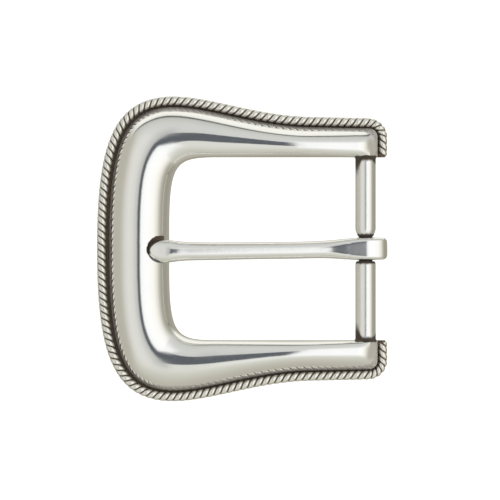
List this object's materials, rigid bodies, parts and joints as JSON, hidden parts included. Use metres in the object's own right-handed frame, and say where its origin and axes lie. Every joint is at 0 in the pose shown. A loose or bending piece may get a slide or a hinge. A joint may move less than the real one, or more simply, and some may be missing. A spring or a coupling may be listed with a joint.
{
  "type": "belt buckle",
  "caption": "Domed C-shaped belt buckle with a rope border, a turned strap bar and a swinging prong, for a 38 mm strap.",
  "frame": {"origin": "on the back plane, under the middle of the buckle's outline", "axes": "+Z from the back to the domed face, +X from the front rail toward the strap bar, +Y along the strap bar"},
  "size_m": [0.0632, 0.0664, 0.0077],
  "materials": {
    "cast_metal": "antique silver plate over a zinc casting, polished on the dome and dark in the groove",
    "rope_metal": "antique silver plate, bright on the strands and dark between them",
    "bar_metal": "antique silver plate, polished along the bar, dark at the ends and the neck",
    "prong_metal": "antique silver plate, polished lengthwise"
  },
  "bodies": {
    "frame": {"frame_casting": "cast_metal", "rope_border": "rope_metal", "strap_bar": "bar_metal"},
    "prong": {"prong": "prong_metal"}
  },
  "joints": [
    {"name": "prong_hinge", "type": "hinge", "parent": "frame", "child": "prong", "pos_m": [0.02685, 0, 0.0029], "axis": [0, 1, 0], "range_deg": [0, 175]}
  ]
}
